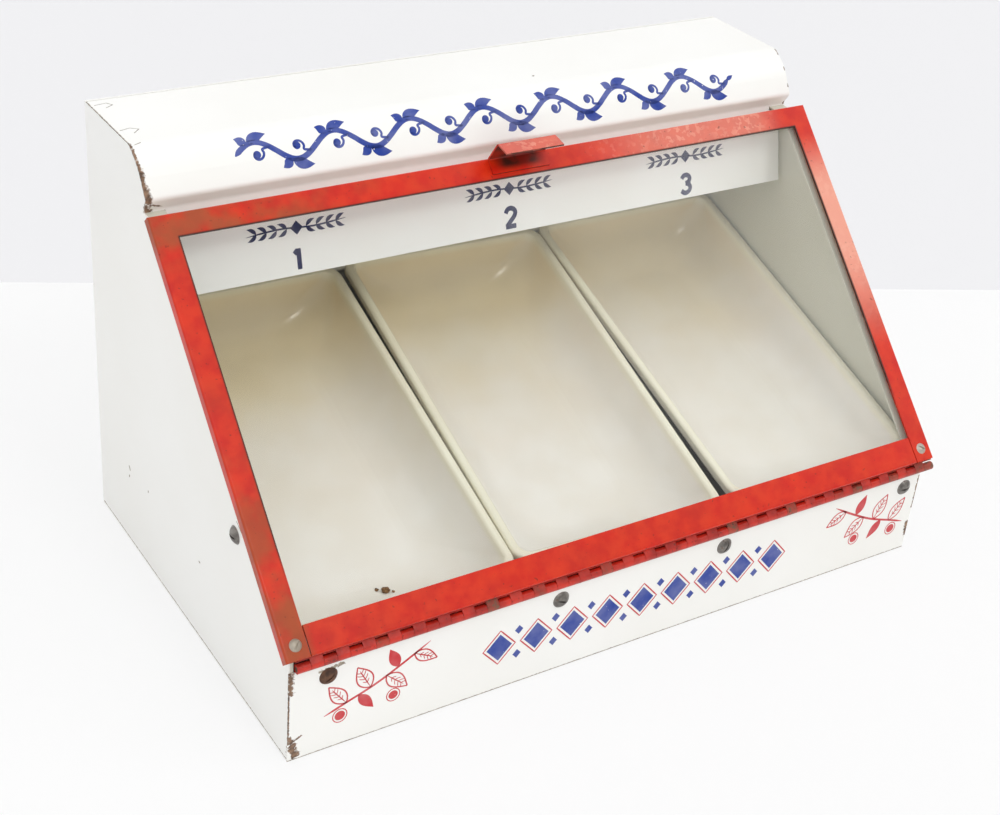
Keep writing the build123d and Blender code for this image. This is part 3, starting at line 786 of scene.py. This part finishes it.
class Sheet:
    # a flat drawing plane in mm, laid onto the surface of one CAD node
    above = 0.03  # m, from where it looks for the surface

    def __init__(self, name, origin, facing):
        self.skin = skinOf(name)
        self.outward = Vector(facing).normalized()
        self.upward = self.outward.cross(Vector((1, 0, 0))).normalized()
        if self.upward.z < 0:
            self.upward.negate()
        self.origin = Vector(origin) / 1000

    def laid(self, across, up, lift):
        start = self.origin + Vector((across / 1000, 0, 0)) + self.upward * (up / 1000)
        hit, normal = self.skin.ray_cast(start + self.outward * self.above, -self.outward)[:2]
        if normal.dot(self.outward) < 0:
            normal = -normal
        return hit + normal * lift


# A strip is its line of points, its half width at each of them, and whether it closes on itself
leastHalf = 0.04  # mm, where a strip runs out


def curve(points, steps=8):
    # smooth line through points across and up
    line = []
    for index in range(len(points) - 1):
        before = Vector(points[max(index - 1, 0)])
        start, end = Vector(points[index]), Vector(points[index + 1])
        after = Vector(points[min(index + 2, len(points) - 1)])
        for step in range(steps):
            t = step / steps
            bend = (end - before) * t + (2 * before - 5 * start + 4 * end - after) * t * t
            bend += (3 * start - before - 3 * end + after) * t * t * t
            line.append(start + bend / 2)
    return line + [Vector(points[-1])]


def vine(points, half, ends=0.15):
    line = curve(points)
    last = len(line) - 1
    halves = [half * min(1, ends + min(s, last - s) * 0.2) for s in range(last + 1)]
    return line, halves, False


def alongShape(centres, halves):
    return [Vector(centre) for centre in centres], [max(leastHalf, h) for h in halves], False


def leaf(base, tip, half, bend=0.0, steps=12):
    base, tip = Vector(base), Vector(tip)
    side = Vector((base.y - tip.y, tip.x - base.x)) * bend
    shares = [s / steps for s in range(steps + 1)]
    line = [base.lerp(tip, share) + side * math.sin(math.pi * share) for share in shares]
    return alongShape(line, [half * math.sin(math.pi * share**0.8) for share in shares])


def dot(centre, radius, steps=12):
    turns = [math.pi * s / steps for s in range(steps + 1)]
    line = [(centre[0] - radius * math.cos(turn), centre[1]) for turn in turns]
    return alongShape(line, [radius * math.sin(turn) for turn in turns])


def lozenge(centre, wide, tall, steps=12):
    shares = [2 * s / steps - 1 for s in range(steps + 1)]
    line = [(centre[0] + wide * share, centre[1]) for share in shares]
    return alongShape(line, [tall * (1 - abs(share)) for share in shares])


def outline(corners, half, steps=6):
    line = []
    for corner, following in zip(corners, corners[1:] + corners[:1]):
        line += [Vector(corner).lerp(Vector(following), s / steps) for s in range(steps)]
    return line, [half] * len(line), True


def joinRings(shape, rings, closed=False):
    following = rings[1:] + rings[:1] if closed else rings[1:]
    for first, second in zip(rings, following):
        for index in range(len(first)):
            further = (index + 1) % len(first)
            shape.faces.new((first[index], second[index], second[further], first[further]))
    if not closed:
        shape.faces.new(rings[0])
        shape.faces.new(list(reversed(rings[-1])))
    bmesh.ops.recalc_face_normals(shape, faces=shape.faces)


def addPiece(name, shape, material, body):
    mesh = bpy.data.meshes.new(name)
    shape.to_mesh(mesh)
    shape.free()
    mesh.materials.append(material)
    made = bpy.data.objects.new(name, mesh)
    scene.collection.objects.link(made)
    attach(made, body)
    return made


def addPrint(name, sheet, strips, material):
    film = bmesh.new()
    columns = inkLook["columns"]
    for line, halves, closed in strips:
        rings = []
        for index, point in enumerate(line):
            before = line[index - 1] if closed or index else point
            after = line[(index + 1) % len(line)] if closed or index < len(line) - 1 else point
            run = (after - before).normalized()
            side = Vector((-run.y, run.x)) * halves[index]
            row = [point + side * (1 - 2 * column / columns) for column in range(columns + 1)]
            ring = [sheet.laid(spot.x, spot.y, inkLook["film"]) for spot in row]
            ring += [sheet.laid(spot.x, spot.y, -inkLook["seat"]) for spot in reversed(row)]
            rings.append([film.verts.new(place) for place in ring])
        joinRings(film, rings, closed)
    addPiece(name, film, material, "cabinet")


fasciaPrint = {
    "from": -140.0,
    "to": 146.0,
    "wave": 40.857,  # mm from crest to crest
    "swing": 5.4,
    "stem": 1.35,
    "points": 72,
    # base, tip, half width and bend of each leaf, from a crest of the stem
    "leaves": [((-3, 4.86), (7.5, 8.8), 2.64, 0.1), ((-4, 4.32), (-8.5, 8.4), 2.31, -0.12)],
    "lastLeaf": ((-1, -0.4), (3.6, 1.6), 1.2),
    "curlPoints": 10,
    "curlTurn": 0.5,  # radians from point to point
    "curlFrom": -0.6,
    "curlRadius": 3.6,
    "curlEnd": 13,  # points after which the radius would be 0
    "curlMiddle": (0.6, -0.6),
    "curlHalf": 0.6,
    "tail": [(7.6, 2.268), (0.4, 0.2)],  # its end, and how far it bows
    "berry": ((0.4, -0.8), 1.9),
}


def drawVine(look):
    # running vine: each crest and hollow has two leaves outside, and inside a curl with a berry
    span = look["to"] - look["from"]
    points = []
    for index in range(look["points"]):
        across = span * index / (look["points"] - 1)
        up = look["swing"] * math.sin(math.tau * across / look["wave"])
        points.append((look["from"] + across, up))
    strips = [vine(points, look["stem"])]
    for index in range(int(span / look["wave"] * 2)):
        crest = look["from"] + look["wave"] * (index / 2 + 0.25)
        way = 1 if index % 2 == 0 else -1

        def put(spot):
            return Vector((crest + spot[0], way * spot[1]))

        for base, tip, half, bend in look["leaves"]:
            strips.append(leaf(put(base), put(tip), half, bend * way))
        curl = []
        for step in range(look["curlPoints"]):
            turn = look["curlFrom"] + look["curlTurn"] * step
            radius = look["curlRadius"] * (1 - step / look["curlEnd"])
            reach = Vector((math.cos(turn), -way * math.sin(turn))) * radius
            curl.append(put(look["curlMiddle"]) + reach)
        tail, (bowAcross, bowUp) = put(look["tail"][0]), look["tail"][1]
        curl.insert(0, (tail + curl[0]) / 2 + Vector((bowAcross, bowUp * way)))
        strips.append(vine([tail] + curl, look["curlHalf"], 0.3))
        centre, radius = look["berry"]
        strips.append(dot(put(centre), radius))
    base, tip, half = look["lastLeaf"]
    end = Vector((look["to"], 0))
    strips.append(leaf(end + Vector(base), end + Vector(tip), half))
    return strips


fascia = Sheet("top_cover", (0, 46.5, 217.2), (0, -0.75, 0.66))
addPrint("fascia_vine", fascia, drawVine(fasciaPrint), blueInk)

bandPrint = {
    "from": -77.5,
    "to": 87.5,
    "height": 25.4,
    "count": 9,
    "wide": 7.0,
    "tall": 7.8,
    "borderWide": 8.89,
    "borderTall": 9.9,
    "line": 0.35,
    "small": (2.3, 2.6),  # half width and half height of those between
    "smallUp": 7.2,
}


def drawBand(look):
    filled, lined = [], []
    pitch = (look["to"] - look["from"]) / (look["count"] - 1)
    wide, tall = look["borderWide"], look["borderTall"]
    for index in range(look["count"]):
        x, z = look["from"] + pitch * index, look["height"]
        filled.append(lozenge((x, z), look["wide"], look["tall"]))
        corners = [(x - wide, z), (x, z + tall), (x + wide, z), (x, z - tall)]
        lined.append(outline(corners, look["line"]))
        if index < look["count"] - 1:
            for up in (-look["smallUp"], look["smallUp"]):
                filled.append(lozenge((x + pitch / 2, z + up), *look["small"], 6))
    return filled, lined


front = Sheet("front_panel", (0, -111.5, 0), (0, -1, 0))
bandFilled, bandLined = drawBand(bandPrint)
addPrint("front_lozenges", front, bandFilled, blueInk)
addPrint("front_lozenge_lines", front, bandLined, redInk)

sprigPrint = {
    "line": 0.35,
    "stem": [(-29, -11), (-18, -7), (-4, -2), (10, 5), (24, 13)],
    "stemHalf": 0.6,
    # base, tip and half width of each leaf
    "leaves": [
        ((-18, -7), (-27, 5), 3.6),
        ((-12, -5), (-4, -15), 3.4),
        ((-6, -2.5), (-13, 11), 4.0),
        ((2, 1), (13, -9), 3.8),
        ((8, 4), (3, 15.5), 3.6),
        ((16, 8.5), (28, 2), 3.2),
    ],
    "filledHalf": 0.8,  # share of the half width, for a leaf that is filled
    "midrib": 0.3,
    "vein": 0.2,
    "veinsAt": (0.25, 0.4, 0.55, 0.7),  # shares of the leaf's length
    "veinReach": 0.62,
    "midribTo": 0.82,
    "nuts": [((-21, -13.4), 2.6), ((6, -11.8), 2.4)],
    "shell": (1.0, 1.2, 0.25),  # mm round the nut across and up, and half width
}


def drawLeafLines(look, base, tip, half):
    # border, midrib and veins of an open leaf
    line, halves, closed = leaf(base, tip, half)
    run = (tip - base).normalized()
    side = Vector((-run.y, run.x))
    edge = [spot + side * wide for spot, wide in zip(line, halves)]
    edge += [spot - side * wide for spot, wide in zip(reversed(line), reversed(halves))]
    strips = [(edge, [look["line"]] * len(edge), True)]
    midrib = [base, base.lerp(tip, 0.5), base.lerp(tip, look["midribTo"])]
    strips.append(vine(midrib, look["midrib"]))
    for share in look["veinsAt"]:
        spot = base.lerp(tip, share)
        reach = half * look["veinReach"] * math.sin(math.pi * share)
        for way in (side, -side):
            middle = spot + way * reach * 0.6 + run * reach * 0.5
            strips.append(vine([spot, middle, spot + way * reach + run * reach], look["vein"]))
    return strips


def drawSprig(look, middle, flip):
    def put(spot):
        return Vector((middle[0] + flip * spot[0], middle[1] + spot[1]))

    strips = [vine([put(spot) for spot in look["stem"]], look["stemHalf"])]
    for index, (base, tip, half) in enumerate(look["leaves"]):
        if index % 3 == 1:
            strips.append(leaf(put(base), put(tip), half * look["filledHalf"]))
        else:
            strips += drawLeafLines(look, put(base), put(tip), half)
    wide, tall, line = look["shell"]
    turns = [turn * math.tau / 16 for turn in range(16)]
    for spot, radius in look["nuts"]:
        centre = put(spot)
        strips.append(dot(centre, radius))
        shell = [((radius + wide) * math.cos(a), (radius + tall) * math.sin(a)) for a in turns]
        strips.append(([centre + Vector(point) for point in shell], [line] * 16, True))
    return strips


addPrint("front_sprig_left", front, drawSprig(sprigPrint, (-139.5, 30.5), 1), redInk)
addPrint("front_sprig_right", front, drawSprig(sprigPrint, (151.5, 30), -1), redInk)

signPrint = {
    "places": [-112.7, 5.6, 117.2],
    "figureHeight": 166.4,
    "size": 0.98,
    "weight": 1.2,
    "rowHeight": 181.0,
    "reach": 26.0,
    "rowHalf": 0.4,
    "lozenge": (3.2, 3.3),
    "leavesFrom": 5.0,
    "leafPitch": 5.2,
    "leaf": (4.6, 2.9),
    "leafHalf": 0.95,
    # plain numerals as strokes, 10 mm tall about their middle
    "figures": {
        1: [[(-2.4, 2.6), (-0.4, 4.4)], [(0, 5), (0, -5)]],
        2: [
            [(-2.9, 2.6), (-1.6, 4.5), (0.8, 4.8), (2.8, 3.2), (2.3, 0.8)]
            + [(-0.6, -2.2), (-2.6, -4.2)],
            [(-3.1, -4.3), (3.2, -4.3)],
        ],
        3: [
            [(-2.8, 3.2), (-1.2, 4.7), (1.2, 4.6), (2.7, 2.9), (1.9, 1.1), (-0.2, 0.4)],
            [(0, 0.4), (2.2, -0.5), (3.0, -2.5), (1.6, -4.3), (-0.8, -4.7), (-3.0, -3.3)],
        ],
    },
}


def drawFigure(number, look, across):
    middle, size = Vector((across, look["figureHeight"])), look["size"]
    strips = []
    for stroke in look["figures"][number]:
        points = [middle + Vector(point) * size for point in stroke]
        strips.append(vine(points, look["weight"], 0.9))
    return strips


def drawRow(look, x):
    z, reach = look["rowHeight"], look["reach"]
    stem = [(x - reach, z - 0.6), (x - 9, z + 0.5), (x + 9, z - 0.5), (x + reach, z + 0.6)]
    strips = [vine(stem, look["rowHalf"]), lozenge((x, z), *look["lozenge"])]
    along, up = look["leaf"]
    for index in range(4):
        for way in (-1, 1):
            base = x + way * (look["leavesFrom"] + index * look["leafPitch"])
            for side in (-1, 1):
                tip = (base + way * along, z + side * up)
                strips.append(leaf((base, z), tip, look["leafHalf"], 0.12 * way * side, 8))
    return strips


sign = Sheet("sign_strip", (0, 31.7, 0), (0, -1, 0))
for number, across in enumerate(signPrint["places"], 1):
    addPrint(f"sign_figure_{number}", sign, drawFigure(number, signPrint, across), navyInk)
    addPrint(f"sign_sprig_{number}", sign, drawRow(signPrint, across), navyInk)
print("printed ornament done")

# Lip of the bottom rail behind the hinge leaf; it closes the leaf's notches from inside
lipLook = {
    "axis": (-112.05, 52.5),
    "from": -176.0,
    "to": 176.0,
    "lengths": 4,
    # along the leaf and out from it
    "section": [(2.42, 0.5), (2.5, 1.3), (3.4, 1.38), (8.6, 1.38), (9.0, 0.6), (8.4, 0.5)],
}


def makeLip(look):
    shape = bmesh.new()
    cosine, sine = math.cos(redLook["slope"]), math.sin(redLook["slope"])
    rings = []
    for index in range(look["lengths"] + 1):
        x = look["from"] + (look["to"] - look["from"]) * index / look["lengths"]
        ring = []
        for along, out in look["section"]:
            y = look["axis"][0] + along * cosine - out * sine
            z = look["axis"][1] + along * sine + out * cosine
            ring.append(shape.verts.new(Vector((x, y, z)) / 1000))
        rings.append(ring)
    joinRings(shape, rings)
    addPiece("door_rail_lip", shape, redEnamel, "door")


makeLip(lipLook)

# The lower leaf ends flush with the cabinet's right side, and only its barrel runs past it
leafLook = {
    "flushAt": 0.1848,
    "barrelFrom": 0.05022,
    "sharp": math.radians(30),
}


def trimLeaf(look):
    shape = bmesh.new()
    shape.from_mesh(nodes["hinge_lower_leaf"].data)
    bmesh.ops.remove_doubles(shape, verts=shape.verts, dist=1e-6)
    cuts = [((look["flushAt"], 0, 0), (1, 0, 0)), ((0, 0, look["barrelFrom"]), (0, 0, 1))]
    for spot, facing in cuts:
        everything = shape.verts[:] + shape.edges[:] + shape.faces[:]
        bmesh.ops.bisect_plane(shape, geom=everything, dist=1e-7, plane_co=spot, plane_no=facing)
    proud = []
    for face in shape.faces:
        middle = face.calc_center_median()
        if middle.x > look["flushAt"] and middle.z < look["barrelFrom"]:
            proud.append(face)
    bmesh.ops.delete(shape, geom=proud, context="FACES")
    rim = [edge for edge in shape.edges if len(edge.link_faces) == 1]
    bmesh.ops.holes_fill(shape, edges=rim)
    bmesh.ops.recalc_face_normals(shape, faces=shape.faces)
    made = addPiece("hinge_lower_leaf_trimmed", shape, hingePaint, "cabinet")
    for face in made.data.polygons:
        face.use_smooth = True
    made.data.set_sharp_from_angle(angle=look["sharp"])
    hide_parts("hinge_lower_leaf")


trimLeaf(leafLook)

crumbLook = {
    # place across and deep, and radius, in mm
    "places": [((-118.4, -73.5), 2.0), ((-121.8, -71.0), 0.9), ((-115.4, -75.4), 0.7)],
    "colour": srgb(150, 108, 62),
    "dark": srgb(84, 54, 30),
    "grain": (900.0, 0.8),
    "roughness": (0.6, 0.8),
    "bump": (0.4, 0.0003),
    "lumps": [(1.6, 0.45), (4, 0.2)],  # how many, and how far they stand out
    "flat": 0.62,
    "lift": 0.45,
}


def makeCrumbs(look):
    crust = Finish("nutCrumb", look)
    grain = crust.blotches("grain")
    crust.bump(grain, *look["bump"])
    material = crust.done(crust.mix(grain, "colour", "dark"), crust.spread(grain, "roughness"))
    floor = skinOf("bin_left")
    (coarse, coarseSwell), (fine, fineSwell) = look["lumps"]
    shape = bmesh.new()
    for (x, y), size in look["places"]:
        ball = bmesh.ops.create_icosphere(shape, subdivisions=3, radius=size / 1000)
        spot = floor.ray_cast(Vector((x, y, 90)) / 1000, Vector((0, 0, -1)))[0]
        for vertex in ball["verts"]:
            way = vertex.co.normalized()
            swell = 1 + coarseSwell * lumpiness(way * coarse + Vector((x, y, 0)))
            swell += fineSwell * lumpiness(way * fine + Vector((y, x, 0)))
            vertex.co *= swell
            vertex.co.z *= look["flat"]
            vertex.co += spot + Vector((0, 0, size * look["lift"] / 1000))
    addPiece("bin_crumb", shape, material, "cabinet")


makeCrumbs(crumbLook)
print("lip and crumb done")

# Room: floor, wall and lights
roomLook = {
    "floor": srgb(236, 236, 236),
    "floorSeen": srgb(254, 254, 254),
    "floorHeld": 0.75,
    "wall": srgb(242, 242, 244),
    "wallHeld": 0.9,
    "drift": (1.5, 0.2),
    "aged": 0.985,
    "fixed": {"Roughness": 0.9, "Specular IOR Level": 0.0},
    "wallLeft": (-0.157, 0.373),
    "wallRight": (0.475, 0.092),
    "reach": 4.0,
    "height": 3.0,
}


def makePaper(name, colour, seenColour, held):
    # seenColour is what the camera sees, and held the share of it that shows without light on it
    paper = Finish(name, roomLook)
    tree = paper.tree
    aged = [value * roomLook["aged"] for value in colour[:3]] + [1]
    path = addNode(tree, "LightPath").outputs
    seen = strongest(tree, *[path[f"Is {ray} Ray"] for ray in ("Camera", "Glossy", "Transmission")])
    glow = addNode(tree, "Emission", {"Color": seenColour, "Strength": 1.0})
    part = mixSurface(tree, times(tree, seen, held), paper.shader, glow)
    behind = addNode(tree, "NewGeometry").outputs["Backfacing"]
    mixSurface(tree, behind, part, addNode(tree, "BsdfTransparent"))
    return paper.done(paper.mix(paper.blotches("drift"), colour, aged))


def addPanel(name, corners, material):
    mesh = bpy.data.meshes.new(name)
    mesh.from_pydata(corners, [], [tuple(range(len(corners)))])
    mesh.materials.append(material)
    made = bpy.data.objects.new(name, mesh)
    scene.collection.objects.link(made)


def makeRoom(look):
    reach = look["reach"]
    corners = [(-reach, -reach, 0), (reach, -reach, 0), (reach, reach, 0), (-reach, reach, 0)]
    paper = makePaper("floorPaper", look["floor"], look["floorSeen"], look["floorHeld"])
    addPanel("floor", corners, paper)
    left, right = Vector((*look["wallLeft"], 0)), Vector((*look["wallRight"], 0))
    run = (right - left).normalized() * reach
    top = Vector((0, 0, look["height"]))
    corners = [left - run, right + run, right + run + top, left - run + top]
    paper = makePaper("wallPaper", look["wall"], look["wall"], look["wallHeld"])
    addPanel("wall", corners, paper)


makeRoom(roomLook)

lightLook = {
    "sky": 0.52,
    # direction, strength, and the angles in degrees where a glow is full and where it ends
    "fills": [
        ((-0.84, -0.16, 0.52), 0.4, 20, 60),
        ((0.05, -0.30, 0.95), 0.8, 10, 50),
        ((0.62, -0.58, 0.52), 0.4, 15, 50),
    ],
    # unlit part of the studio that the glass mirrors
    "dark": ((0.52, -0.57, 0.64), 0.94, 17, 32),
    "sheen": ((0.70, -0.33, 0.64), 1.5, 5, 17),
    "keyFrom": (0.10, -0.68, 0.725),
    "key": 0.42,
    "keyAngle": 14.0,  # degrees across
}


def makeSky(look):
    world = bpy.data.worlds.new("studio")
    scene.world = world
    world.use_nodes = True
    tree = world.node_tree
    back = tree.nodes["Background"]
    direction = addNode(tree, "TexCoord").outputs["Generated"]

    def glow(source, amount, core, edge):
        facing = dotProduct(tree, direction, Vector(source).normalized())
        low, high = math.cos(math.radians(edge)), math.cos(math.radians(core))
        return ramp(tree, facing, low, high, 0.0, amount)

    total = look["sky"]
    for entry in look["fills"]:
        total = maths(tree, "ADD", total, glow(*entry))
    path = addNode(tree, "LightPath").outputs
    unlit = times(tree, glow(*look["dark"]), path["Is Glossy Ray"])
    total = times(tree, total, maths(tree, "SUBTRACT", 1.0, unlit))
    total = maths(tree, "ADD", total, glow(*look["sheen"]))
    seen = path["Is Camera Ray"]
    unseen = maths(tree, "SUBTRACT", 1.0, seen)
    strength = maths(tree, "ADD", seen, times(tree, unseen, total))
    tree.links.new(strength, back.inputs["Strength"])
    back.inputs["Color"].default_value = (1, 1, 1, 1)


def addKey(look):
    lamp = bpy.data.lights.new("key", "SUN")
    lamp.energy = look["key"]
    lamp.angle = math.radians(look["keyAngle"])
    made = bpy.data.objects.new("key", lamp)
    made.rotation_euler = Vector(look["keyFrom"]).to_track_quat("Z", "Y").to_euler()
    scene.collection.objects.link(made)


makeSky(lightLook)
addKey(lightLook)

cameraLook = {
    "eye": (-0.44013, -0.61620, 0.53405),
    "aim": (-0.02624, -0.01964, 0.09211),
    "roll": 5.45,  # degrees
    "lens": 61.45,
    "sensor": 36.0,
}


def addCamera(look):
    camera = bpy.data.objects.new("camera", bpy.data.cameras.new("camera"))
    scene.collection.objects.link(camera)
    camera.data.lens = look["lens"]
    camera.data.sensor_width = look["sensor"]
    camera.data.sensor_fit = "HORIZONTAL"
    camera.data.clip_start = 0.01
    sight = Vector(look["aim"]) - Vector(look["eye"])
    turn = sight.to_track_quat("-Z", "Y").to_matrix().to_4x4()
    roll = Matrix.Rotation(math.radians(look["roll"]), 4, "Z")
    camera.matrix_world = Matrix.Translation(look["eye"]) @ turn @ roll
    return camera


scene.camera = addCamera(cameraLook)
scene.view_settings.view_transform = "Standard"
print("room, lights and camera done")
